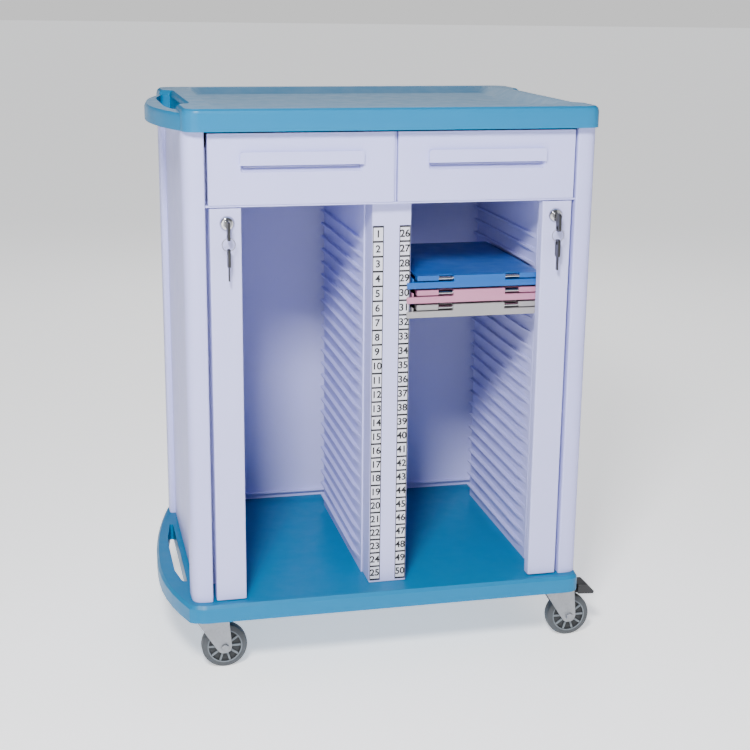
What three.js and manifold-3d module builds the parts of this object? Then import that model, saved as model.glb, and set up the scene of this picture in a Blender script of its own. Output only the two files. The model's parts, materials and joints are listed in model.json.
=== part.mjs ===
// Fifty-slot patient-record trolley. Units are millimetres, +Z is up, -Y is the front.
import * as THREE from 'three';
import { mergeVertices } from 'three/addons/utils/BufferGeometryUtils.js';
import Module from 'manifold-3d';

const wasm = await Module();
wasm.setup();

// ---- driving dimensions -------------------------------------------------
const GAP = 0.3; // play left where two pieces touch

// heights above the floor
const SKIRT_BOTTOM = 110; // lower edge of the base tray
const FLOOR_TOP = 141; // surface the cabinet stands on
const DECK_BOTTOM = 813; // shelf under the drawers
const DECK_TOP = 816;
const DRAWER_TOP = 929;
const RIM_BOTTOM = 933; // lower edge of the top tray
const RIM_TOP = 968;
const TRAY_FLOOR = 957; // recessed surface of the top

// plan
const FRONT = -18; // front face of the two moulded trays
const TOP_REAR = 510;
const BASE_REAR = 505;
const CORNER_X = 344; // corners of the trays and columns
const WAIST_X = 330; // right side of the top between its corners
const HANDLE_WALL_X = 325; // side of the top behind the handle

// bowed edges on the left: furthest point, and how slowly the edge falls back in front and behind
const HANDLE_BOW = { x: -384, y: 205, frontSpan: 950, rearSpan: 1200 };
const BUMPER_BOW = { x: -388, y: 175, frontSpan: 900, rearSpan: 2250 };

// frame
const COLUMN_INNER_X = 309;
const COLUMN_WALL = 2.5;
const FRONT_COLUMN_REAR = 52;
const REAR_COLUMN_FRONT = 440;
const REAR_COLUMN_REAR = 492;
const PANEL_X = 330; // inner face of the side panels
const PANEL_THICK = 3;
const BACK_FRONT = 487; // front face of the back panel

// centre post and chart ledges
const POST_HALF = 33;
const POST_FRONT = 25.5;
const POST_REAR = 76;
const PITCH = 25;
const SLOTS_PER_BAY = 25;
const FIRST_SLOT_TOP = 772;
const LEDGE_DROP = 4.3; // ledge tops sit this far under the slot marks
const LEDGE_REACH = 7;
const LEDGE_FRONT = 82;
const LEDGE_REAR = 424;
const INNER_WALL_X = 36; // bay face of the inner ledge walls
const OUTER_WALL_X = 271;
const WALL_THICK = 3;

// drawers
const DRAWER_GAP = 3.1; // half the gap between the two fronts
const DRAWER_WIDTH = 300.9;
const DRAWER_FRONT_DEPTH = 18;
const DRAWER_REAR = 438;
const DRAWER_WALL = 3;
const DRAWER_BOX_TOP = 905;
const PULL_HALF = 100;
const PULL_TOP = 900;
const PULL_LINE = 879;
const PULL_BOTTOM = 867;

// hinged lock bars
const BAR_INNER_X = 252;
const BAR_OUTER_X = 303;
const BAR_DEPTH = 20;
const BAR_WALL = 3;
const BAR_BOTTOM = 143;
const BAR_TOP = 811.5;
const BAR_PIVOT_X = 297;
const BAR_PIVOT_Y = 8;
const LOCK_X = 275;
const LOCK_Z = 788;
const RING_R = 10.5;
const RING_Y = -17; // the keys hang this far in front
const KEY_EYE_Z = LOCK_Z - 19; // hole in the folded key head
const RING_Z = KEY_EYE_Z - 2 - RING_R;

// casters
const SWIVEL_X = 317;
const FRONT_SWIVEL_Y = 47;
const REAR_SWIVEL_Y = 440;
const TRAIL = 30; // wheel centre behind the swivel axis
const WHEEL_R = 40;
const WHEEL_WIDTH = 24;
const RIM_R = 31; // tyre starts outside this
const AXLE_R = 4;
const CASTER_TOP = 120; // underside of the mounting bosses
const RACE_BOTTOM = 108; // swivel joint between plate and fork
const PEDAL_REACH = 27; // pedal pivot behind the swivel axis
const PEDAL_Z = 96;

// charts
const CHART_X = 153;
const CHART_SLOTS = [4, 5, 6];
const CHART_NAMES = ['blue', 'pink', 'grey'];
const CHART_HALF = 116.5;
const COVER_HALF = 108; // clears the ledge tips
const FLANGE_HALF = 126;
const CHART_REAR = 335;

// ---- materials ------------------------------------------------------------
function finish(name, colour, roughness, metalness = 0) {
  const material = new THREE.MeshStandardMaterial({ color: colour, roughness, metalness });
  material.name = name;
  return material;
}
const CYAN = finish('cyan_abs', 0x00a5d4, 0.32);
const LILAC = finish('lilac_abs', 0xd3d3e8, 0.42);
const METAL_PAINT = finish('lilac_paint', 0xd6d6ea, 0.5);
const STEEL = finish('zinc_steel', 0x9a9ca0, 0.4, 1);
const CHROME = finish('chrome', 0xd8d8dc, 0.15, 1);
const RUBBER = finish('wheel_rubber', 0x4a4c50, 0.7);
const BLACK = finish('black_plastic', 0x17181a, 0.45);
const CHART_COLOURS = {
  blue: finish('chart_blue', 0x0a78c4, 0.4),
  pink: finish('chart_pink', 0xd79bb4, 0.4),
  grey: finish('chart_grey', 0xbdb8b3, 0.45),
};

// ---- helpers ----------------------------------------------------------------
const group = new THREE.Group();

// Adds one named solid to the cart.
function add(name, body, material) {
  const mesh = new THREE.Mesh(toGeometry(body), material);
  mesh.name = name;
  group.add(mesh);
}

// Closed triangle surface to boolean solid.
function toSolid(geometry) {
  const bare = geometry.clone();
  bare.deleteAttribute('normal');
  bare.deleteAttribute('uv');
  const merged = mergeVertices(bare, 1e-4);
  const vertProperties = new Float32Array(merged.attributes.position.array);
  const triVerts = new Uint32Array(merged.index.array);
  return new wasm.Manifold(new wasm.Mesh({ numProp: 3, vertProperties, triVerts }));
}

// Boolean solid back to a drawable surface.
function toGeometry(body) {
  const mesh = body.getMesh();
  const geometry = new THREE.BufferGeometry();
  geometry.setAttribute('position', new THREE.BufferAttribute(new Float32Array(mesh.vertProperties), 3));
  geometry.setIndex(new THREE.BufferAttribute(new Uint32Array(mesh.triVerts), 1));
  const flat = geometry.toNonIndexed();
  flat.computeVertexNormals();
  return flat;
}

function join(...bodies) {
  return bodies.reduce((sum, body) => sum.add(body));
}

function cut(body, ...tools) {
  return tools.reduce((rest, tool) => rest.subtract(tool), body);
}

// Block between two corners given per axis.
function block(x0, x1, y0, y1, z0, z1) {
  const geometry = new THREE.BoxGeometry(Math.abs(x1 - x0), Math.abs(y1 - y0), Math.abs(z1 - z0));
  geometry.translate((x0 + x1) / 2, (y0 + y1) / 2, (z0 + z1) / 2);
  return toSolid(geometry);
}

// Round bar along one axis, centred on the other two coordinates.
function rod(axis, radius, from, to, a, b, sides = 12) {
  const geometry = new THREE.CylinderGeometry(radius, radius, to - from, sides);
  const middle = (from + to) / 2;
  if (axis === 'x') geometry.rotateZ(Math.PI / 2).translate(middle, a, b);
  if (axis === 'y') geometry.translate(a, middle, b);
  if (axis === 'z') geometry.rotateX(Math.PI / 2).translate(a, b, middle);
  return toSolid(geometry);
}

// The same outline, ordered anticlockwise.
function anticlockwise(outline) {
  const loop = outline.map(([x, y]) => new THREE.Vector2(x, y));
  return THREE.ShapeUtils.area(loop) > 0 ? outline : outline.slice().reverse();
}

// Polygon with rounded corners; each corner is [x, y, radius].
function rounded(corners, steps = 4) {
  const outline = [];
  corners.forEach((corner, i) => {
    const here = new THREE.Vector2(corner[0], corner[1]);
    const before = corners[(i + corners.length - 1) % corners.length];
    const after = corners[(i + 1) % corners.length];
    const back = new THREE.Vector2(before[0], before[1]).sub(here).normalize();
    const ahead = new THREE.Vector2(after[0], after[1]).sub(here).normalize();
    const half = Math.acos(THREE.MathUtils.clamp(back.dot(ahead), -1, 1)) / 2;
    const reach = corner[2] / Math.tan(half);
    const start = here.clone().addScaledVector(back, reach);
    const end = here.clone().addScaledVector(ahead, reach);
    for (let k = 0; k <= steps; k += 1) {
      const t = k / steps;
      const bend = new THREE.QuadraticBezierCurve(start, here, end);
      const point = bend.getPoint(t);
      const last = outline[outline.length - 1];
      const repeated = last && Math.hypot(point.x - last[0], point.y - last[1]) < 0.02;
      if (!repeated) outline.push([point.x, point.y]);
    }
  });
  return anticlockwise(outline);
}

// Moves an anticlockwise outline inwards by a distance.
function inset(outline, distance) {
  return outline.map((point, i) => {
    const before = outline[(i + outline.length - 1) % outline.length];
    const after = outline[(i + 1) % outline.length];
    const a = new THREE.Vector2(point[0] - before[0], point[1] - before[1]).normalize();
    const b = new THREE.Vector2(after[0] - point[0], after[1] - point[1]).normalize();
    const normal = new THREE.Vector2(-a.y - b.y, a.x + b.x).normalize();
    const stretch = distance / Math.max(0.5, normal.dot(new THREE.Vector2(-a.y, a.x)));
    return [point[0] + normal.x * stretch, point[1] + normal.y * stretch];
  });
}

// Solid through outlines stacked in height; every outline has the same point count.
function loft(sections) {
  const count = sections[0].outline.length;
  const positions = [];
  const index = [];
  sections.forEach(({ outline, z }) => outline.forEach(([x, y]) => positions.push(x, y, z)));
  for (let level = 0; level + 1 < sections.length; level += 1) {
    for (let i = 0; i < count; i += 1) {
      const j = (i + 1) % count;
      const low = level * count;
      const high = low + count;
      index.push(low + i, low + j, high + j);
      index.push(low + i, high + j, high + i);
    }
  }
  const last = (sections.length - 1) * count;
  const cap = (outline) => THREE.ShapeUtils.triangulateShape(
    outline.map(([x, y]) => new THREE.Vector2(x, y)), []);
  cap(sections[0].outline).forEach(([a, b, c]) => index.push(a, c, b));
  cap(sections[sections.length - 1].outline).forEach(([a, b, c]) => {
    index.push(last + a, last + b, last + c);
  });
  const geometry = new THREE.BufferGeometry();
  geometry.setAttribute('position', new THREE.Float32BufferAttribute(positions, 3));
  geometry.setIndex(index);
  return toSolid(geometry);
}

// Plan edge that bows out to the left, as [x, y] points from front to rear.
function bow({ x, y, frontSpan, rearSpan }, from, to, steps = 14) {
  const edge = [];
  for (let k = 0; k <= steps; k += 1) {
    const along = THREE.MathUtils.lerp(from, to, k / steps);
    const away = along - y;
    edge.push([x + (away * away) / (away < 0 ? frontSpan : rearSpan), along]);
  }
  return edge;
}

// Upright prism of a plan outline.
function prism(corners, z0, z1) {
  const outline = anticlockwise(corners);
  return loft([{ outline, z: z0 }, { outline, z: z1 }]);
}

// Prism of a front-view outline, [x, z] points, between two depths.
function frontPrism(outline, y0, y1) {
  const lying = prism(outline, 0, y1 - y0);
  return lying.rotate([90, 0, 0]).translate([0, y1, 0]);
}

// Mirrors a plan outline to the other side and keeps it anticlockwise.
function mirrored(outline) {
  return anticlockwise(outline.map(([x, y]) => [-x, y]));
}

function sideName(side) {
  return side < 0 ? 'left' : 'right';
}

// ---- moulded trays -----------------------------------------------------------
function topTray() {
  const outline = rounded([
    [-CORNER_X, FRONT, 28], [CORNER_X, FRONT, 28], [CORNER_X, 62, 8], [WAIST_X, 78, 8],
    [WAIST_X, 398, 8], [CORNER_X, 414, 8], [CORNER_X, TOP_REAR, 34], [-CORNER_X, TOP_REAR, 34],
    [-CORNER_X, 420, 8], [-HANDLE_WALL_X, 402, 8], [-HANDLE_WALL_X, 108, 8], [-CORNER_X, 90, 8],
  ]);
  const slab = loft([
    { outline, z: RIM_BOTTOM },
    { outline, z: RIM_TOP - 9 },
    { outline: inset(outline, 2), z: RIM_TOP - 3 },
    { outline: inset(outline, 6), z: RIM_TOP },
  ]);
  const loopOutline = anticlockwise([[-318, 8], ...bow(HANDLE_BOW, 8, 440), [-318, 440]]);
  const loop = loft([
    { outline: loopOutline, z: RIM_BOTTOM },
    { outline: loopOutline, z: RIM_TOP - 14 },
    { outline: inset(loopOutline, 3), z: RIM_TOP - 8 },
  ]);
  const fingerGap = prism(rounded([
    [-HANDLE_WALL_X, 104, 2], [-HANDLE_WALL_X, 406, 2], [-342, 406, 10], [-357, 330, 250],
    [-357, 150, 250], [-348, 92, 8], [-334, 92, 8],
  ]), RIM_BOTTOM - 1, RIM_TOP + 1);
  const recessTop = rounded([[-292, 22, 44], [300, 22, 44], [300, 488, 44], [-292, 488, 44]]);
  const recess = loft([
    { outline: inset(recessTop, 20), z: TRAY_FLOOR },
    { outline: recessTop, z: RIM_TOP + 1 },
  ]);
  const underside = block(-300, 300, 10, 480, RIM_BOTTOM - 1, TRAY_FLOOR - 6);
  return cut(join(slab, loop), fingerGap, recess, underside);
}

function baseTray() {
  const outline = rounded([
    [-346, FRONT, 26], [346, FRONT, 26], [346, BASE_REAR, 30], [-346, BASE_REAR, 30],
  ]);
  const slab = loft([
    { outline, z: SKIRT_BOTTOM },
    { outline, z: FLOOR_TOP - 6 },
    { outline: inset(outline, 4), z: FLOOR_TOP },
  ]);
  const bumperOutline = anticlockwise([
    [-322, -14], [-341, -14], ...bow(BUMPER_BOW, -8, 486), [-322, 486],
  ]);
  const bumper = loft([
    { outline: bumperOutline, z: SKIRT_BOTTOM },
    { outline: bumperOutline, z: FLOOR_TOP - 6 },
    { outline: inset(bumperOutline, 4), z: FLOOR_TOP },
  ]);
  const bumperGap = prism(rounded([
    [-344, 96, 2], [-352, 100, 4], [-361, 150, 100], [-361, 300, 200], [-350, 376, 3], [-344, 376, 2],
  ]), SKIRT_BOTTOM - 1, FLOOR_TOP + 1);
  const hollow = block(-338, 338, -8, BASE_REAR - 10, SKIRT_BOTTOM - 1, FLOOR_TOP - 9);
  const bosses = [];
  for (const x of [-SWIVEL_X, SWIVEL_X]) {
    for (const y of [FRONT_SWIVEL_Y, REAR_SWIVEL_Y]) {
      const edge = x < 0 ? -339 : 339;
      const inner = x < 0 ? -270 : 270;
      bosses.push(block(inner, edge, y - 40, y + 40, CASTER_TOP, FLOOR_TOP - 5));
    }
  }
  const pivots = [-1, 1].map((side) => rod(
    'z', 3 + GAP, FLOOR_TOP - 6, FLOOR_TOP + 1, side * BAR_PIVOT_X, BAR_PIVOT_Y));
  return cut(join(cut(join(slab, bumper), bumperGap, hollow), ...bosses), ...pivots);
}

// ---- frame ---------------------------------------------------------------------
// Hollow column; the corner facing out and away from the cabinet is well rounded.
function column(side, front) {
  const y0 = front ? -1 : REAR_COLUMN_FRONT;
  const y1 = front ? FRONT_COLUMN_REAR : REAR_COLUMN_REAR;
  const frontRadius = front ? 22 : 6;
  const rearRadius = front ? 6 : 22;
  const right = rounded([
    [COLUMN_INNER_X, y0, 3.5], [CORNER_X, y0, frontRadius],
    [CORNER_X, y1, rearRadius], [COLUMN_INNER_X, y1, 3.5],
  ]);
  const outline = side > 0 ? right : mirrored(right);
  const shell = prism(outline, FLOOR_TOP + GAP, RIM_BOTTOM - GAP);
  const bore = prism(inset(outline, COLUMN_WALL), FLOOR_TOP, RIM_BOTTOM);
  return cut(shell, bore);
}

function sidePanel(side) {
  const inner = side * PANEL_X;
  const outer = side * (PANEL_X + PANEL_THICK);
  return block(
    inner, outer, FRONT_COLUMN_REAR + GAP, REAR_COLUMN_FRONT - GAP, FLOOR_TOP + GAP, RIM_BOTTOM - GAP);
}

function backPanel() {
  const edge = COLUMN_INNER_X - GAP;
  const sheet = block(-edge, edge, BACK_FRONT, BACK_FRONT + 3, FLOOR_TOP + GAP, RIM_BOTTOM - GAP);
  const flange = block(-edge, edge, BACK_FRONT - 8, BACK_FRONT + 1, FLOOR_TOP + 12, FLOOR_TOP + 15);
  return join(sheet, flange);
}

// Channel that faces the front, open to the rear.
function centrePost() {
  const outer = block(-POST_HALF, POST_HALF, POST_FRONT, POST_REAR, FLOOR_TOP + GAP, DECK_BOTTOM - GAP);
  const hollow = block(
    -POST_HALF + 2.5, POST_HALF - 2.5, POST_FRONT + 2.5, POST_REAR + 1, FLOOR_TOP, DECK_BOTTOM);
  return cut(outer, hollow);
}

// Section of the ledge row, [x, z]: flat ledge tops with sloping undersides.
function ledgeSection(wallX, direction) {
  const root = wallX - direction * 1;
  const tip = wallX + direction * LEDGE_REACH;
  const teeth = [[root, FLOOR_TOP + 2]];
  for (let slot = SLOTS_PER_BAY - 1; slot >= 1; slot -= 1) {
    const top = FIRST_SLOT_TOP - LEDGE_DROP - slot * PITCH;
    teeth.push([wallX, top - 8]);
    teeth.push([tip, top - 3]);
    teeth.push([tip, top]);
    teeth.push([wallX, top]);
  }
  teeth.push([root, FIRST_SLOT_TOP - PITCH]);
  return teeth;
}

// Ledge wall: the teeth face the bay and taper back to the wall at their front ends.
function ledgeWall(side, inner) {
  const wallX = side * (inner ? INNER_WALL_X : OUTER_WALL_X);
  const direction = inner ? side : -side;
  const teeth = frontPrism(ledgeSection(wallX, direction), LEDGE_FRONT, LEDGE_REAR);
  const tip = wallX + direction * (LEDGE_REACH + 1);
  const back = wallX - direction * 2;
  const plan = rounded([
    [back, LEDGE_FRONT - 1, 0.1], [wallX, LEDGE_FRONT - 1, 0.1], [tip, LEDGE_FRONT + 44, 16],
    [tip, LEDGE_REAR, 1], [back, LEDGE_REAR, 0.1],
  ], 3);
  const trimmed = teeth.intersect(prism(plan, FLOOR_TOP, DECK_BOTTOM));
  const low = FLOOR_TOP + GAP;
  const high = DECK_BOTTOM - GAP;
  const outerFace = wallX - direction * WALL_THICK;
  const sheet = block(wallX, outerFace, POST_REAR + GAP, LEDGE_REAR, low, high);
  if (inner) return join(sheet, trimmed);
  const reach = side * (PANEL_X - GAP);
  const root = outerFace + direction;
  const frontWing = block(root, reach, POST_REAR + GAP, POST_REAR + GAP + 3, low, high);
  const rearWing = block(root, reach, LEDGE_REAR - 3, LEDGE_REAR, low, high);
  return join(sheet, trimmed, frontWing, rearWing);
}

// Shelf under the drawers with the guides that stand between and beside them.
function drawerDeck() {
  const edge = COLUMN_INNER_X - GAP;
  const shelf = block(-edge, edge, 2, BACK_FRONT - 8 - GAP, DECK_BOTTOM, DECK_TOP);
  const parts = [shelf, block(-2, 2, 6, BACK_FRONT - 9, DECK_TOP - 1, DRAWER_TOP)];
  for (const side of [-1, 1]) {
    parts.push(block(side * 304.8, side * 308, 22, BACK_FRONT - 9, DECK_TOP - 1, DRAWER_BOX_TOP));
    parts.push(block(side * (LOCK_X - 8), side * (LOCK_X + 8), 9.5, 12, DECK_BOTTOM - 10, DECK_BOTTOM + 1));
  }
  const holes = [-1, 1].map((side) => rod(
    'z', 3 + GAP, DECK_BOTTOM - 1, DECK_TOP + 1, side * BAR_PIVOT_X, BAR_PIVOT_Y));
  return cut(join(...parts), ...holes);
}

// ---- drawers ---------------------------------------------------------------------
function drawerFront(side) {
  const near = side * DRAWER_GAP;
  const far = side * (DRAWER_GAP + DRAWER_WIDTH);
  const middle = (near + far) / 2;
  const panel = block(near, far, 0, DRAWER_FRONT_DEPTH, DECK_TOP + 0.4, DRAWER_TOP);
  const hood = frontPrism(rounded([
    [middle - PULL_HALF, PULL_LINE, 1], [middle + PULL_HALF, PULL_LINE, 1],
    [middle + PULL_HALF, PULL_TOP, 6], [middle - PULL_HALF, PULL_TOP, 6],
  ]), -6, 1);
  const x0 = middle - PULL_HALF + 4;
  const x1 = middle + PULL_HALF - 4;
  const wedge = [
    [-7, PULL_BOTTOM], [11, PULL_LINE - 2], [11, PULL_TOP - 6], [-2, PULL_TOP - 6], [-2, PULL_LINE],
    [-7, PULL_LINE],
  ];
  const scoop = prism(wedge, 0, x1 - x0).rotate([90, 0, 90]).translate([x0, 0, 0]);
  return cut(join(panel, hood), scoop);
}

function drawerBox(side) {
  const near = side * (DRAWER_GAP + 3);
  const far = side * (DRAWER_GAP + DRAWER_WIDTH - 4);
  const y0 = DRAWER_FRONT_DEPTH + GAP;
  const floor = DECK_TOP + 0.6;
  const shell = block(near, far, y0, DRAWER_REAR, floor, DRAWER_BOX_TOP);
  const inside = block(
    near + side * DRAWER_WALL, far - side * DRAWER_WALL, y0 + DRAWER_WALL, DRAWER_REAR - DRAWER_WALL,
    floor + DRAWER_WALL, DRAWER_BOX_TOP + 1);
  return cut(shell, inside);
}

// ---- lock bars ---------------------------------------------------------------------
// Channel open to the rear, hung on a pin at each end of its outer edge.
function lockBar(side) {
  const inner = side * BAR_INNER_X;
  const outer = side * BAR_OUTER_X;
  const right = rounded([
    [BAR_INNER_X, 0, 3], [BAR_OUTER_X, 0, 3], [BAR_OUTER_X, BAR_DEPTH, 1], [BAR_INNER_X, BAR_DEPTH, 1],
  ], 2);
  const shell = prism(side > 0 ? right : mirrored(right), BAR_BOTTOM, BAR_TOP);
  const hollow = block(
    inner + side * BAR_WALL, outer - side * BAR_WALL, BAR_WALL, BAR_DEPTH + 1, BAR_BOTTOM + 3, BAR_TOP + 1);
  const pivotX = side * BAR_PIVOT_X;
  const topEar = block(outer - side * 1, side * (BAR_PIVOT_X - 7), 1, 15, BAR_TOP - 4, BAR_TOP);
  const topPin = rod('z', 3, BAR_TOP - 2, DECK_TOP - 0.6, pivotX, BAR_PIVOT_Y);
  const bottomPin = rod('z', 3, FLOOR_TOP - 4, BAR_BOTTOM + 1, pivotX, BAR_PIVOT_Y);
  const lockHole = rod('y', 9 + GAP, -1, BAR_WALL + 1, side * LOCK_X, LOCK_Z, 16);
  return cut(join(cut(shell, hollow), topEar, topPin, bottomPin), lockHole);
}

// Domed rose outside, threaded body inside, bored for the plug.
function lockHousing(side) {
  const x = side * LOCK_X;
  const profile = [
    [6.3, -6], [9.5, -5.2], [12, -2.5], [12.5, -GAP], [9, -GAP], [9, 13], [6.3, 13], [6.3, -6],
  ];
  const lathe = new THREE.LatheGeometry(profile.map(([r, y]) => new THREE.Vector2(r, y)), 16);
  lathe.translate(x, 0, LOCK_Z);
  return toSolid(lathe);
}

// Barrel with its key slot and the cam behind it.
function lockPlug(side) {
  const x = side * LOCK_X;
  const barrel = rod('y', 6, -7, 16, x, LOCK_Z, 16);
  const cam = block(x - side * 4, x - side * 17, 14, 16, LOCK_Z - 4, LOCK_Z + 4);
  const keyway = block(x - 1.3, x + 1.3, -8, 9, LOCK_Z - 4.3, LOCK_Z + 4.3);
  return cut(join(barrel, cam), keyway);
}

// Key whose head is folded down in front of the lock.
function lockKey(side) {
  const x = side * LOCK_X;
  const blade = block(x - 1, x + 1, -13, 8, LOCK_Z - 4, LOCK_Z + 4);
  const head = prism(rounded([
    [-25, -25, 5], [-9, -25, 5], [-9, 5, 4], [-25, 5, 6],
  ], 3), -2.2, 2.2).rotate([90, 0, 90]).translate([x, 0, LOCK_Z]);
  const eye = rod('x', 3.6, x - 5, x + 5, RING_Y, KEY_EYE_Z, 12);
  return cut(join(blade, head), eye);
}

function keyRing(side) {
  const torus = new THREE.TorusGeometry(RING_R, 0.8, 6, 18);
  torus.rotateX(Math.PI / 2).translate(side * LOCK_X, RING_Y, RING_Z);
  return toSolid(torus);
}

function spareKey(side) {
  const x = side * LOCK_X;
  const eyeZ = RING_Z - RING_R - 2;
  const head = prism(rounded([
    [RING_Y - 8, eyeZ - 24, 5], [RING_Y + 8, eyeZ - 24, 5],
    [RING_Y + 8, eyeZ + 6, 6], [RING_Y - 8, eyeZ + 6, 6],
  ], 3), -2.2, 2.2).rotate([90, 0, 90]).translate([x, 0, 0]);
  const blade = block(x - 1, x + 1, RING_Y - 4, RING_Y + 4, eyeZ - 46, eyeZ - 22);
  const eye = rod('x', 3.6, x - 5, x + 5, RING_Y, eyeZ, 12);
  return cut(join(head, blade), eye);
}

// ---- casters ---------------------------------------------------------------------
function casterPlate(x, y) {
  const plate = block(x - 20, x + 20, y - 30, y + 30, CASTER_TOP - GAP - 3, CASTER_TOP - GAP);
  const race = rod('z', 19, RACE_BOTTOM, CASTER_TOP - 3, x, y, 20);
  return join(plate, race);
}

function casterFork(x, y, braked) {
  const wheelX = x + TRAIL;
  const crown = rod('z', 19, 95, RACE_BOTTOM - GAP, x, y, 20);
  const leg = rounded([
    [x - 19, 107, 3], [x - 19, 92, 4], [wheelX - 15, WHEEL_R - 2, 6], [wheelX - 8, WHEEL_R - 11, 6],
    [wheelX + 8, WHEEL_R - 11, 6], [wheelX + 12, WHEEL_R, 6], [x + 38, 88, 6], [x + 35, 107, 5],
  ], 1);
  const legs = [-1, 1].map((side) => {
    const inner = y + side * 14.5;
    const outer = y + side * 17;
    return frontPrism(leg, Math.min(inner, outer), Math.max(inner, outer));
  });
  const web = block(x - 18, x + 18, y - 16, y + 16, 96, 107);
  const bore = rod('y', AXLE_R + GAP, y - 20, y + 20, wheelX, WHEEL_R);
  const pivot = rod('y', 3 + GAP, y - 20, y + 20, x + PEDAL_REACH, PEDAL_Z);
  const fork = cut(join(crown, web, ...legs), bore);
  return braked ? cut(fork, pivot) : fork;
}

function casterWheel(x, y) {
  const half = WHEEL_WIDTH / 2;
  const profile = [
    [AXLE_R + GAP, -half], [11, -half], [13, -half + 4], [RIM_R - 3, -half + 4], [RIM_R, -half],
    [WHEEL_R, -half + 5], [WHEEL_R, half - 5], [RIM_R, half], [RIM_R - 3, half - 4], [13, half - 4],
    [11, half], [AXLE_R + GAP, half], [AXLE_R + GAP, -half],
  ];
  const lathe = new THREE.LatheGeometry(profile.map(([r, v]) => new THREE.Vector2(r, v)), 20);
  lathe.translate(x + TRAIL, y, WHEEL_R);
  return toSolid(lathe);
}

function casterAxle(x, y) {
  const shaft = rod('y', AXLE_R, y - 19, y + 19, x + TRAIL, WHEEL_R);
  const head = rod('y', 7, y - 21.5, y - 17 - GAP, x + TRAIL, WHEEL_R, 6);
  const nut = rod('y', 7, y + 17 + GAP, y + 21.5, x + TRAIL, WHEEL_R, 6);
  return join(shaft, head, nut);
}

function brakePedal(x, y) {
  const pin = rod('y', 3, y - 19, y + 19, x + PEDAL_REACH, PEDAL_Z);
  const lever = frontPrism(rounded([
    [x + 22, 91, 3], [x + 40, 84, 4], [x + 74, 82, 3], [x + 75, 87, 2], [x + 62, 100, 5], [x + 22, 102, 3],
  ], 2), y - 13, y + 13);
  const tread = frontPrism(rounded([
    [x + 44, 84, 2], [x + 74, 82, 2], [x + 75, 87, 2], [x + 62, 100, 4], [x + 44, 100, 3],
  ], 2), y - 19, y + 19);
  return join(pin, lever, tread);
}

// ---- charts ------------------------------------------------------------------------
function chartTray(x, z) {
  const board = block(x - CHART_HALF, x + CHART_HALF, 24, CHART_REAR, z + 0.3, z + 3);
  const flange = block(x - FLANGE_HALF, x + FLANGE_HALF, 21.3, 25, z - 1.5, z + 9);
  const parts = [board, flange];
  parts.push(block(x - CHART_HALF, x + CHART_HALF, 24.5, 27, z + 0.3, z + 9));
  parts.push(block(x - 45, x + 45, 21.3, 34, z + 1, z + 19.5));
  for (const side of [-1, 1]) {
    parts.push(block(x + side * CHART_HALF, x + side * (CHART_HALF - 2.5), 25, CHART_REAR, z + 1, z + 15));
  }
  parts.push(block(x - CHART_HALF, x + CHART_HALF, CHART_REAR - 2.5, CHART_REAR, z + 1, z + 15));
  const bore = rod('x', 3 + GAP, x - 46, x + 46, 27.5, z + 14);
  return cut(join(...parts), bore);
}

function chartCover(x, z) {
  const parts = [block(x - COVER_HALF, x + COVER_HALF, 38, CHART_REAR, z + 16, z + 19)];
  for (const side of [-1, 1]) {
    parts.push(block(x + side * 71, x + side * COVER_HALF, 24, 40, z + 11, z + 19.5));
  }
  const bore = rod('x', 3 + GAP, x - 80, x + 80, 27.5, z + 14);
  return cut(join(...parts), bore);
}

function chartPin(x, z) {
  return rod('x', 3, x - 78, x + 78, 27.5, z + 14);
}

// ---- assembly ------------------------------------------------------------------------
add('top_tray', topTray(), CYAN);
add('base_tray', baseTray(), CYAN);
add('back_panel', backPanel(), LILAC);
add('centre_post', centrePost(), METAL_PAINT);
add('drawer_deck', drawerDeck(), LILAC);
for (const side of [-1, 1]) {
  const name = sideName(side);
  add(`front_column_${name}`, column(side, true), LILAC);
  add(`rear_column_${name}`, column(side, false), LILAC);
  add(`side_panel_${name}`, sidePanel(side), LILAC);
  add(`inner_ledges_${name}`, ledgeWall(side, true), LILAC);
  add(`outer_ledges_${name}`, ledgeWall(side, false), LILAC);
  add(`drawer_box_${name}`, drawerBox(side), LILAC);
  add(`drawer_front_${name}`, drawerFront(side), LILAC);
  add(`lock_bar_${name}`, lockBar(side), METAL_PAINT);
  add(`lock_housing_${name}`, lockHousing(side), CHROME);
  add(`lock_plug_${name}`, lockPlug(side), CHROME);
  add(`key_${name}`, lockKey(side), BLACK);
  add(`key_ring_${name}`, keyRing(side), CHROME);
  add(`spare_key_${name}`, spareKey(side), BLACK);
}
for (const [where, y] of [['front', FRONT_SWIVEL_Y], ['rear', REAR_SWIVEL_Y]]) {
  for (const side of [-1, 1]) {
    const tag = `${where}_${sideName(side)}`;
    const x = side * SWIVEL_X;
    const braked = side > 0;
    add(`caster_plate_${tag}`, casterPlate(x, y), STEEL);
    add(`caster_fork_${tag}`, casterFork(x, y, braked), STEEL);
    add(`caster_wheel_${tag}`, casterWheel(x, y), RUBBER);
    add(`caster_axle_${tag}`, casterAxle(x, y), STEEL);
    if (braked) add(`brake_pedal_${tag}`, brakePedal(x, y), BLACK);
  }
}
CHART_SLOTS.forEach((slot, i) => {
  const z = FIRST_SLOT_TOP - LEDGE_DROP - slot * PITCH;
  const colour = CHART_NAMES[i];
  add(`chart_tray_${colour}`, chartTray(CHART_X, z), CHART_COLOURS[colour]);
  add(`chart_cover_${colour}`, chartCover(CHART_X, z), CHART_COLOURS[colour]);
  add(`chart_pin_${colour}`, chartPin(CHART_X, z), CHROME);
});

// Origin at the middle of the footprint, on the floor.
const bounds = new THREE.Box3().setFromObject(group);
const middle = bounds.getCenter(new THREE.Vector3());
for (const mesh of group.children) mesh.geometry.translate(-middle.x, -middle.y, -bounds.min.z);

export default group;
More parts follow.
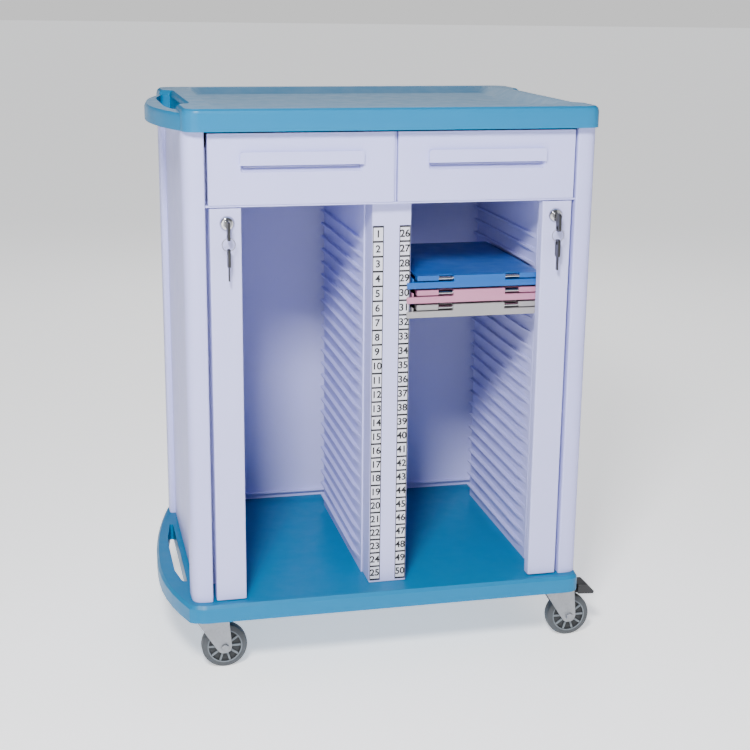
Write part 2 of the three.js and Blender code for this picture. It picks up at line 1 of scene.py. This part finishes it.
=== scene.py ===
"""Looks of the patient-record trolley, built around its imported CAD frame.

Shapes are written in millimetres on the cart's own datum: X = 0 between the drawers, Y = 0 on the
drawer fronts, Z = 0 on the floor. place() turns them into the frame's metres.
"""
import json
import math

import bmesh
import bpy
from mathutils import Matrix, Vector


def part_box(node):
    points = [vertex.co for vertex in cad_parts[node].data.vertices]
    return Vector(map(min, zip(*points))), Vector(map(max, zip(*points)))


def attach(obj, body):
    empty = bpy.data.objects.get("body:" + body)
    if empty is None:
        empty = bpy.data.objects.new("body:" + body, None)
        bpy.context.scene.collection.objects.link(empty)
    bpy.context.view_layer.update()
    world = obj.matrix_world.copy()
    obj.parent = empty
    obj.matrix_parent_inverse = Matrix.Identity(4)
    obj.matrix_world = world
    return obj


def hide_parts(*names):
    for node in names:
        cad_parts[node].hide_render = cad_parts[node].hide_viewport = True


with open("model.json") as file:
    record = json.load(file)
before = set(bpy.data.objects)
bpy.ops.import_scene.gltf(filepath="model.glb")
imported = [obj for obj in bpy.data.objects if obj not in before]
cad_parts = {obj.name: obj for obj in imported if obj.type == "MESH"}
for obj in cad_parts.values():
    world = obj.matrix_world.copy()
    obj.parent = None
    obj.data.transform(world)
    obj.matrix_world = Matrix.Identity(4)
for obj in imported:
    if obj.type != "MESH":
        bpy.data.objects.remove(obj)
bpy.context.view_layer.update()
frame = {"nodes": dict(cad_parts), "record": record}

MM = 0.001
BODIES = frame["record"]["behaviour"]["bodies"]
BODY_OF = {node: body for body, nodes in BODIES.items() for node in nodes}
SIDES = (("left", -1), ("right", 1))
CASTERS = ("front_left", "front_right", "rear_left", "rear_right")

# ---- datum: the centre post gives the middle plane, the drawer fronts give the height ---------------
POST_FRONT = 25.5
POST_LOW, POST_HIGH = (Vector(corner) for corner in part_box("centre_post"))
DATUM = Vector(((POST_LOW.x + POST_HIGH.x) / 2, POST_LOW.y - POST_FRONT * MM, 0))
PLACE = Matrix.Translation(DATUM) @ Matrix.Scale(MM, 4)


def place(x, y, z):
    """Cart millimetres to frame metres."""
    return PLACE @ Vector((x, y, z))


def span(node):
    """Lowest and highest corner of a CAD node, in cart millimetres."""
    back = PLACE.inverted()
    return tuple(back @ Vector(corner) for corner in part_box(node))


# ---- driving sizes, in cart millimetres ---------------------------------------------------------------
PITCH = 25.0
SLOTS = 25
FIRST_SLOT_TOP = 772.0
WHEEL_R = span("caster_wheel_front_left")[1].z / 2

# ---- camera and light ----------------------------------------------------------------------------------
CAMERA_FROM_DATUM = (-548.5, -2221.4, 1146.7)
CAMERA_YAW = -0.2286
CAMERA_PITCH = 0.2654
CAMERA_ROLL = 0.0107
FOCAL_OVER_FRAME = 1.8862
SENSOR = 36.0


def make_camera():
    """Camera at the photograph's viewing angle."""
    data = bpy.data.cameras.new("camera")
    data.sensor_width = SENSOR
    data.lens = SENSOR * FOCAL_OVER_FRAME
    data.clip_end = 50
    camera = bpy.data.objects.new("camera", data)
    yaw, pitch, roll = CAMERA_YAW, CAMERA_PITCH, CAMERA_ROLL
    forward = Vector((-math.sin(yaw) * math.cos(pitch), math.cos(yaw) * math.cos(pitch), -math.sin(pitch)))
    right = Vector((math.cos(yaw), math.sin(yaw), 0))
    up = right.cross(forward)
    tilted_right = right * math.cos(roll) + up * math.sin(roll)
    tilted_up = up * math.cos(roll) - right * math.sin(roll)
    turn = Matrix((tilted_right, tilted_up, -forward)).transposed().to_4x4()
    camera.matrix_world = Matrix.Translation(place(*CAMERA_FROM_DATUM)) @ turn
    bpy.context.scene.collection.objects.link(camera)
    bpy.context.scene.camera = camera


def area_light(name, position, target, size, power, colour=(1, 1, 1)):
    """Soft rectangular light aimed at a point, both in frame metres."""
    data = bpy.data.lights.new(name, "AREA")
    data.shape = "SQUARE"
    data.size = size
    data.energy = power
    data.color = colour
    light = bpy.data.objects.new(name, data)
    light.location = position
    light.rotation_euler = (Vector(target) - Vector(position)).to_track_quat("-Z", "Y").to_euler()
    bpy.context.scene.collection.objects.link(light)


def make_light():
    """Key light from the left front, weak fill, and a studio that is dark above its pale horizon."""
    middle = Vector((0, 0, 0.5))
    key_from = Vector((-0.28, -0.757, 0.589)) * 2.8
    area_light("key", middle + key_from, middle, 0.45, 118)
    area_light("fill", (2.6, -2.6, 1.2), middle, 2.4, 16)
    area_light("front", (-1.6, -3.0, 0.7), middle, 1.8, 32)
    area_light("back", (0.6, 2.8, 2.6), middle, 2.2, 34)
    world = bpy.data.worlds.new("studio")
    world.use_nodes = True
    tree = world.node_tree
    where = tree.nodes.new("ShaderNodeTexCoord")
    split = tree.nodes.new("ShaderNodeSeparateXYZ")
    tree.links.new(where.outputs["Generated"], split.inputs["Vector"])
    sky = tree.nodes.new("ShaderNodeValToRGB")
    stops = sky.color_ramp.elements
    stops[0].position = 0.02
    stops[0].color = (0.95, 0.95, 0.95, 1)
    stops[1].position = 1.0
    stops[1].color = (0.36, 0.37, 0.40, 1)
    for height, level in ((0.10, 0.16), (0.62, 0.16), (0.85, 0.34)):
        stop = stops.new(height)
        stop.color = (level, level * 1.04, level * 1.12, 1)
    tree.links.new(split.outputs["Z"], sky.inputs["Fac"])
    background = tree.nodes["Background"]
    tree.links.new(sky.outputs["Color"], background.inputs["Color"])
    background.inputs["Strength"].default_value = 0.9
    bpy.context.scene.world = world


def make_floor():
    """Plain pale floor."""
    bm = bmesh.new()
    bmesh.ops.create_grid(bm, x_segments=8, y_segments=8, size=120)
    mesh = bpy.data.meshes.new("floor")
    bm.to_mesh(mesh)
    bm.free()
    floor = bpy.data.objects.new("floor", mesh)
    floor.location = (0, 0, 0)
    bpy.context.scene.collection.objects.link(floor)
    material, _, surface = shader("floor_white", (0.95, 0.95, 0.95), 0.8)
    surface.inputs["Emission Color"].default_value = (1, 1, 1, 1)
    surface.inputs["Emission Strength"].default_value = 0.8
    mesh.materials.append(material)


# ---- materials ---------------------------------------------------------------------------------------------
def shader(name, colour, roughness, metallic=0.0):
    """New material; returns it with its node tree and its shader node."""
    material = bpy.data.materials.new(name)
    material.use_nodes = True
    tree = material.node_tree
    surface = tree.nodes["Principled BSDF"]
    surface.inputs["Base Color"].default_value = (*colour, 1)
    surface.inputs["Roughness"].default_value = roughness
    surface.inputs["Metallic"].default_value = metallic
    material.diffuse_color = (*colour, 1)
    return material, tree, surface


def noise(tree, scale, detail=3.0, stretch=(1, 1, 1)):
    """Noise in the object's own coordinates."""
    where = tree.nodes.new("ShaderNodeTexCoord")
    shape = tree.nodes.new("ShaderNodeMapping")
    shape.inputs["Scale"].default_value = stretch
    field = tree.nodes.new("ShaderNodeTexNoise")
    field.inputs["Scale"].default_value = scale
    field.inputs["Detail"].default_value = detail
    tree.links.new(where.outputs["Object"], shape.inputs["Vector"])
    tree.links.new(shape.outputs["Vector"], field.inputs["Vector"])
    return field.outputs["Fac"]


def between(tree, factor, low, high):
    """Maps the middle of a noise to a range of numbers."""
    ramp = tree.nodes.new("ShaderNodeMapRange")
    ramp.inputs["From Min"].default_value = 0.3
    ramp.inputs["From Max"].default_value = 0.7
    ramp.inputs["To Min"].default_value = low
    ramp.inputs["To Max"].default_value = high
    tree.links.new(factor, ramp.inputs["Value"])
    return ramp.outputs["Result"]


def blend_colours(tree, factor, first, second):
    """Mixes two colours or colour outputs."""
    mix = tree.nodes.new("ShaderNodeMix")
    mix.data_type = "RGBA"
    tree.links.new(factor, mix.inputs["Factor"])
    for socket, value in ((mix.inputs["A"], first), (mix.inputs["B"], second)):
        if isinstance(value, tuple):
            socket.default_value = (*value, 1)
        else:
            tree.links.new(value, socket)
    return mix.outputs["Result"]


def add_bump(tree, surface, height, strength, distance):
    """Fine relief on the shader."""
    bump = tree.nodes.new("ShaderNodeBump")
    bump.inputs["Strength"].default_value = strength
    bump.inputs["Distance"].default_value = distance
    tree.links.new(height, bump.inputs["Height"])
    tree.links.new(bump.outputs["Normal"], surface.inputs["Normal"])


def worn_edges(tree, base, pale, amount):
    """Slightly paler, rubbed convex edges."""
    geometry = tree.nodes.new("ShaderNodeNewGeometry")
    edge = tree.nodes.new("ShaderNodeMapRange")
    edge.inputs["From Min"].default_value = 0.52
    edge.inputs["From Max"].default_value = 0.62
    edge.inputs["To Max"].default_value = amount
    tree.links.new(geometry.outputs["Pointiness"], edge.inputs["Value"])
    return blend_colours(tree, edge.outputs["Result"], base, pale)


def tint(colour, factor):
    """The same colour, lighter or darker."""
    return tuple(min(1.0, channel * factor) for channel in colour)


def moulded(name, colour, roughness, grain=1400.0, relief=0.12, gloss=0.4, variation=0.05):
    """Moulded plastic: fine grain, slow colour drift, uneven gloss and rubbed edges."""
    material, tree, surface = shader(name, colour, roughness)
    drift = noise(tree, 7.0, 4.0)
    base = blend_colours(tree, drift, tint(colour, 1 - variation), tint(colour, 1 + variation))
    pale = tuple(channel * 0.8 + 0.2 for channel in colour)
    tree.links.new(worn_edges(tree, base, pale, 0.08), surface.inputs["Base Color"])
    sheen = noise(tree, 35.0, 5.0)
    tree.links.new(between(tree, sheen, roughness - 0.05, roughness + 0.06), surface.inputs["Roughness"])
    add_bump(tree, surface, noise(tree, grain, 2.0), relief, 0.0002)
    surface.inputs["Specular IOR Level"].default_value = gloss
    return material


def printed(name, colour, roughness):
    """Card or ink with a little mottling."""
    material, tree, surface = shader(name, colour, roughness)
    mottle = noise(tree, 120.0, 3.0)
    base = blend_colours(tree, mottle, tint(colour, 0.94), tint(colour, 1.06))
    tree.links.new(base, surface.inputs["Base Color"])
    surface.inputs["Specular IOR Level"].default_value = 0.25
    return material


def coated(name, colour, roughness):
    """Powder coat: a slight orange peel over metal."""
    material, tree, surface = shader(name, colour, roughness)
    drift = noise(tree, 5.0, 3.0)
    base = blend_colours(tree, drift, tint(colour, 0.97), tint(colour, 1.03))
    pale = tuple(channel * 0.6 + 0.4 for channel in colour)
    tree.links.new(worn_edges(tree, base, pale, 0.15), surface.inputs["Base Color"])
    peel = noise(tree, 420.0, 2.0)
    tree.links.new(between(tree, peel, roughness - 0.04, roughness + 0.05), surface.inputs["Roughness"])
    add_bump(tree, surface, peel, 0.10, 0.0004)
    return material


def metal(name, colour, roughness, stretch=(1, 1, 1), scale=260.0, mottling=0.12):
    """Bare or plated metal with fine scratches and mottling."""
    material, tree, surface = shader(name, colour, roughness, 1.0)
    streaks = noise(tree, scale, 6.0, stretch)
    patches = noise(tree, 45.0, 4.0)
    base = blend_colours(tree, patches, tint(colour, 1 - mottling), tint(colour, 1 + mottling))
    tree.links.new(base, surface.inputs["Base Color"])
    tree.links.new(between(tree, streaks, roughness * 0.75, roughness * 1.35), surface.inputs["Roughness"])
    add_bump(tree, surface, streaks, 0.08, 0.0002)
    return material


def tyre_rubber(name, colour):
    """Grey wheel rubber with dust in the grain."""
    material, tree, surface = shader(name, colour, 0.55)
    dust = noise(tree, 60.0, 8.0)
    base = blend_colours(tree, between(tree, dust, 0.0, 1.0), colour, tint(colour, 1.7))
    tree.links.new(worn_edges(tree, base, tint(colour, 2.4), 0.3), surface.inputs["Base Color"])
    tree.links.new(between(tree, dust, 0.42, 0.7), surface.inputs["Roughness"])
    add_bump(tree, surface, noise(tree, 900.0, 4.0), 0.25, 0.0003)
    return material


CYAN = moulded("cyan_abs", (0.0, 0.15, 0.32), 0.34, grain=70.0, relief=0.01, gloss=0.14, variation=0.02)
LILAC = moulded("lilac_abs", (0.46, 0.47, 0.82), 0.42, gloss=0.3, relief=0.06)
PAINT = coated("lilac_paint", (0.46, 0.47, 0.80), 0.45)
STEEL = metal("zinc_steel", (0.30, 0.31, 0.33), 0.42)
CHROME = metal("chrome", (0.55, 0.55, 0.57), 0.12, scale=500.0, mottling=0.04)
RUBBER = tyre_rubber("wheel_rubber", (0.032, 0.036, 0.041))
BLACK = moulded("black_plastic", (0.012, 0.012, 0.014), 0.38, variation=0.2)
CHART_FINISH = {
    "blue": moulded("chart_blue", (0.0, 0.08, 0.32), 0.34, relief=0.05),
    "pink": moulded("chart_pink", (0.42, 0.16, 0.27), 0.38, relief=0.05),
    "grey": moulded("chart_grey", (0.27, 0.26, 0.27), 0.40, relief=0.05),
}
HUB = moulded("wheel_hub", (0.13, 0.15, 0.17), 0.42, relief=0.1)
# Painted shade: the recessed pockets between the wheel spokes get a near-black version of the hub plastic.
PAINTED_SHADE_POCKET = moulded("wheel_pocket_painted_shade", (0.022, 0.024, 0.027), 0.6)
CARD = printed("label_card", (0.62, 0.62, 0.70), 0.55)
INK = printed("label_ink", (0.010, 0.010, 0.013), 0.6)
FINISHES = {
    "cyan_abs": CYAN, "lilac_abs": LILAC, "lilac_paint": PAINT, "zinc_steel": STEEL, "chrome": CHROME,
    "wheel_rubber": RUBBER, "black_plastic": BLACK, "chart_blue": CHART_FINISH["blue"],
    "chart_pink": CHART_FINISH["pink"], "chart_grey": CHART_FINISH["grey"],
}
SLOT_OF = {entry["node"]: entry["material_slot"] for entry in frame["record"]["subparts"]}


# ---- mesh helpers --------------------------------------------------------------------------------------
def add_piece(name, mesh, body, materials, nodes=(), bevel=0.0, segments=3, limit=32):
    """Links a mesh as a piece of a body, standing for CAD nodes, with rounded edges."""
    piece = bpy.data.objects.new(name, mesh)
    bpy.context.scene.collection.objects.link(piece)
    for material in materials:
        mesh.materials.append(material)
    mesh.shade_smooth()
    if bevel:
        rounding = piece.modifiers.new("edge_rounding", "BEVEL")
        rounding.width = bevel * MM
        rounding.segments = segments
        rounding.limit_method = "ANGLE"
        rounding.angle_limit = math.radians(limit)
    else:
        mesh.set_sharp_from_angle(angle=math.radians(limit))
    weighting = piece.modifiers.new("face_weighting", "WEIGHTED_NORMAL")
    weighting.keep_sharp = True
    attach(piece, body)
    if nodes:
        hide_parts(*nodes)
    return piece


def softened(node, bevel, segments=2, limit=32):
    """Copy of a CAD node with its edges rounded, shown in its place."""
    bm = bmesh.new()
    bm.from_mesh(frame["nodes"][node].data)
    bmesh.ops.remove_doubles(bm, verts=bm.verts, dist=0.00001)
    bmesh.ops.dissolve_limit(
        bm, angle_limit=math.radians(0.5), verts=bm.verts, edges=bm.edges, delimit={"NORMAL"})
    mesh = bpy.data.meshes.new(f"{node}_look")
    bm.to_mesh(mesh)
    bm.free()
    slot = SLOT_OF[node]
    return add_piece(
        f"{node}_look", mesh, BODY_OF[node], [FINISHES[slot]], (node,), bevel, segments, limit)


SOFT_EDGES = {
    "top_tray": 2.0, "base_tray": 2.0, "drawer_front": 1.2, "drawer_box": 0.8, "lock_bar": 1.0,
    "centre_post": 1.2, "back_panel": 0.6, "side_panel": 0.6, "drawer_deck": 0.5, "front_column": 1.0,
    "rear_column": 1.0, "inner_ledges": 0.8, "outer_ledges": 0.8, "chart_tray": 0.5, "chart_cover": 0.6,
    "chart_pin": 0.3, "caster_plate": 0.5, "caster_fork": 0.4, "caster_wheel": 1.2, "caster_axle": 0.5,
    "brake_pedal": 1.0, "lock_housing": 0.4, "lock_plug": 0.3, "key": 0.4, "key_ring": 0.0, "spare_key": 0.4,
}


def soften_remaining(done):
    """Rounds the edges of every CAD node that has no piece of its own."""
    for node in frame["nodes"]:
        if node in done:
            continue
        kind = max((k for k in SOFT_EDGES if node.startswith(k)), key=len)
        softened(node, SOFT_EDGES[kind])


# ---- pieces with more detail than their CAD nodes ----------------------------------------------------------
LABEL_INNER_X = 13.3
LABEL_OUTER_X = 32.1
LABEL_THICK = 0.35  # card in front of the post
LABEL_LINE = 1.6  # half thickness of the line between two slots
LABEL_EDGE = 1.4  # width of the line down each side
INK_THICK = 0.1
EDGE_THICK = 0.12
DIGIT_HEIGHT = 17.0
DIGIT_WEIGHT = 0.42  # thickens the strokes of the digits
CARD_PART = 0
INK_PART = 1


def box_into(bm, low, high, material=0):
    """Adds a box between two corners, in cart millimetres, and returns its corners."""
    size = Vector(high) - Vector(low)
    middle = (Vector(high) + Vector(low)) / 2
    shape = PLACE @ Matrix.Translation(middle) @ Matrix.Diagonal((*size, 1))
    made = bmesh.ops.create_cube(bm, size=1, matrix=shape)
    for face in {face for vert in made["verts"] for face in vert.link_faces}:
        face.material_index = material
    return made["verts"]


def finished(bm, name):
    """Turns an edit mesh into a mesh."""
    mesh = bpy.data.meshes.new(name)
    bm.to_mesh(mesh)
    bm.free()
    return mesh


def number_into(bm, text, x, y, z):
    """Adds a printed number that faces the front, centred on a point in cart millimetres."""
    curve = bpy.data.curves.new("number", "FONT")
    curve.body = text
    curve.align_x = "CENTER"
    curve.align_y = "CENTER"
    curve.size = DIGIT_HEIGHT
    curve.extrude = INK_THICK
    curve.offset = DIGIT_WEIGHT
    writer = bpy.data.objects.new("number", curve)
    bpy.context.scene.collection.objects.link(writer)
    bpy.context.view_layer.update()
    graph = bpy.context.evaluated_depsgraph_get()
    mesh = bpy.data.meshes.new_from_object(writer.evaluated_get(graph))
    mesh.transform(PLACE @ Matrix.Translation((x, y, z)) @ Matrix.Rotation(math.pi / 2, 4, "X"))
    before = len(bm.faces)
    bm.from_mesh(mesh)
    bm.faces.ensure_lookup_table()
    for face in bm.faces[before:]:
        face.material_index = INK_PART
    bpy.data.objects.remove(writer)
    bpy.data.curves.remove(curve)
    bpy.data.meshes.remove(mesh)


def slot_labels(name, side):
    """Column of numbered slot marks on the centre post."""
    bm = bmesh.new()
    near, far = sorted((side * LABEL_INNER_X, side * LABEL_OUTER_X))
    bottom = FIRST_SLOT_TOP - SLOTS * PITCH
    face = POST_FRONT - LABEL_THICK
    box_into(bm, (near, face, bottom), (far, POST_FRONT + 0.1, FIRST_SLOT_TOP), CARD_PART)
    for slot in range(SLOTS + 1):
        z = FIRST_SLOT_TOP - slot * PITCH
        box_into(bm, (near, face - INK_THICK, z - LABEL_LINE), (far, face, z + LABEL_LINE), INK_PART)
    for x in (near, far - LABEL_EDGE):
        box_into(bm, (x, face - EDGE_THICK, bottom), (x + LABEL_EDGE, face, FIRST_SLOT_TOP), INK_PART)
    first = 1 if side < 0 else SLOTS + 1
    for slot in range(SLOTS):
        z = FIRST_SLOT_TOP - (slot + 0.5) * PITCH
        number_into(bm, str(first + slot), (near + far) / 2, face - INK_THICK, z)
    add_piece(f"slot_labels_{name}", finished(bm, f"slot_labels_{name}"), "cabinet", [CARD, INK])


def ring_verts(bm, centre, radius, y, count):
    """Circle of vertices round an axle, in cart millimetres."""
    ring = []
    for k in range(count):
        angle = k * 2 * math.pi / count
        x = centre.x + radius * math.cos(angle)
        z = centre.z + radius * math.sin(angle)
        ring.append(bm.verts.new(place(x, y, z)))
    return ring


# The pocket part carries painted shade, a near-black finish in the recesses between the spokes.
TYRE_PART, HUB_PART, PAINTED_SHADE_PART = range(3)
# half profile from the bore to the tread: share of the radius, share of the half width, finish
WHEEL_PROFILE = (
    (0.11, 1.00, HUB_PART), (0.29, 1.00, HUB_PART), (0.33, 0.66, PAINTED_SHADE_PART), (0.68, 0.66, PAINTED_SHADE_PART),
    (0.71, 0.96, HUB_PART), (0.76, 1.00, TYRE_PART), (0.90, 0.92, TYRE_PART), (0.975, 0.76, TYRE_PART),
    (1.00, 0.45, TYRE_PART), (1.00, 0.0, TYRE_PART),
)
WHEEL_SIDES = 48
SPOKES = 10
SPOKE_HALF = 1.6
SPOKE_REACH = (0.30, 0.70)  # shares of the wheel radius
SPOKE_DEPTH = 0.10  # share of the half width
SPOKE_SEAT = 0.80


def caster_wheel(tag):
    """Wheel turned from its half profile, with spokes between pockets carrying painted shade: a much darker
    plastic than the hub.
    """
    low, high = span(f"caster_wheel_{tag}")
    centre = (low + high) / 2
    half = (high.y - low.y) / 2
    profile = [(r, -w, m) for r, w, m in WHEEL_PROFILE] + [(r, w, m) for r, w, m in WHEEL_PROFILE[-2::-1]]
    bm = bmesh.new()
    rings = [ring_verts(bm, centre, r * WHEEL_R, centre.y + w * half, WHEEL_SIDES) for r, w, _ in profile]
    for i, ring in enumerate(rings):
        after = rings[(i + 1) % len(rings)]
        material = max(profile[i][2], profile[(i + 1) % len(rings)][2])
        for k in range(WHEEL_SIDES):
            m = (k + 1) % WHEEL_SIDES
            face = bm.faces.new((ring[k], ring[m], after[m], after[k]))
            face.material_index = material
    for side in (-1, 1):
        for k in range(SPOKES):
            inner, outer = (share * WHEEL_R for share in SPOKE_REACH)
            depth = SPOKE_DEPTH * half
            verts = box_into(bm, (inner, -SPOKE_HALF, -depth), (outer, SPOKE_HALF, depth), HUB_PART)
            turn = Matrix.Rotation(2 * math.pi * k / SPOKES, 4, "Y")
            lay = Matrix.Rotation(math.pi / 2, 4, "X")
            seat = Matrix.Translation(Vector((centre.x, centre.y + side * SPOKE_SEAT * half, centre.z)))
            bmesh.ops.transform(bm, matrix=PLACE @ seat @ turn @ lay @ PLACE.inverted(), verts=verts)
    bmesh.ops.recalc_face_normals(bm, faces=bm.faces)
    mesh = finished(bm, f"wheel_{tag}")
    node = f"caster_wheel_{tag}"
    add_piece(
        f"wheel_{tag}", mesh, BODY_OF[node], [RUBBER, HUB, PAINTED_SHADE_POCKET], (node,), 0.0, limit=28)
    return {node}


PULL_HALF = 100.0
PULL_LINE = 879.0
SCOOP_BOTTOM = 866.5
CORNER_STEPS = 6
# depth, lower edge, half width and corner radius, in front of the face and inside it
SCOOP_SECTIONS = (
    (-1.0, SCOOP_BOTTOM, PULL_HALF, 5.0),
    (9.0, PULL_LINE - 5, PULL_HALF - 6, 2.0),
)


def scoop_outline(middle, bottom, half, radius):
    """Front-view outline, [x, z], of the scoop at one depth: square above, round corners below."""
    outline = [(middle - half, PULL_LINE + 0.5), (middle + half, PULL_LINE + 0.5)]
    for centre, first in ((middle + half - radius, 0), (middle - half + radius, -math.pi / 2)):
        for k in range(CORNER_STEPS):
            angle = first - k * math.pi / 2 / (CORNER_STEPS - 1)
            outline.append((centre + radius * math.cos(angle), bottom + radius + radius * math.sin(angle)))
    return outline


def scoop_mesh(middle):
    """Closed shape to be cut from a drawer front, wide in front and narrow behind."""
    bm = bmesh.new()
    rows = []
    for y, bottom, half, radius in SCOOP_SECTIONS:
        rows.append([bm.verts.new(place(x, y, z)) for x, z in scoop_outline(middle, bottom, half, radius)])
    count = len(rows[0])
    for k in range(count):
        m = (k + 1) % count
        bm.faces.new((rows[0][k], rows[0][m], rows[1][m], rows[1][k]))
    bm.faces.new(rows[0])
    bm.faces.new(list(reversed(rows[1])))
    bmesh.ops.recalc_face_normals(bm, faces=bm.faces)
    return finished(bm, "scoop")


def carved(mesh, tool_mesh):
    """Copy of a mesh with another cut from it."""
    tool = bpy.data.objects.new("tool", tool_mesh)
    source = bpy.data.objects.new("source", mesh.copy())
    for thing in (tool, source):
        bpy.context.scene.collection.objects.link(thing)
    carve = source.modifiers.new("carve", "BOOLEAN")
    carve.operation = "DIFFERENCE"
    carve.object = tool
    bpy.context.view_layer.update()
    graph = bpy.context.evaluated_depsgraph_get()
    result = bpy.data.meshes.new_from_object(source.evaluated_get(graph))
    bpy.data.objects.remove(source)
    bpy.data.objects.remove(tool)
    return result


def drawer_front(name):
    """Drawer front with a scoop, sloping and round-ended, under the hood of its pull."""
    node = f"drawer_front_{name}"
    low, high = span(node)
    bm = bmesh.new()
    bm.from_mesh(carved(frame["nodes"][node].data, scoop_mesh((low.x + high.x) / 2)))
    bmesh.ops.remove_doubles(bm, verts=bm.verts, dist=0.00001)
    bmesh.ops.dissolve_limit(bm, angle_limit=math.radians(0.5), verts=bm.verts, edges=bm.edges)
    mesh = finished(bm, f"front_{name}")
    add_piece(f"front_{name}", mesh, BODY_OF[node], [LILAC], (node,), 0.9, 3)
    return {node}


make_camera()
make_light()
make_floor()
made = set()
for side_name, side in SIDES:
    slot_labels(side_name, side)
    made |= drawer_front(side_name)
for tag in CASTERS:
    made |= caster_wheel(tag)
soften_remaining(made)
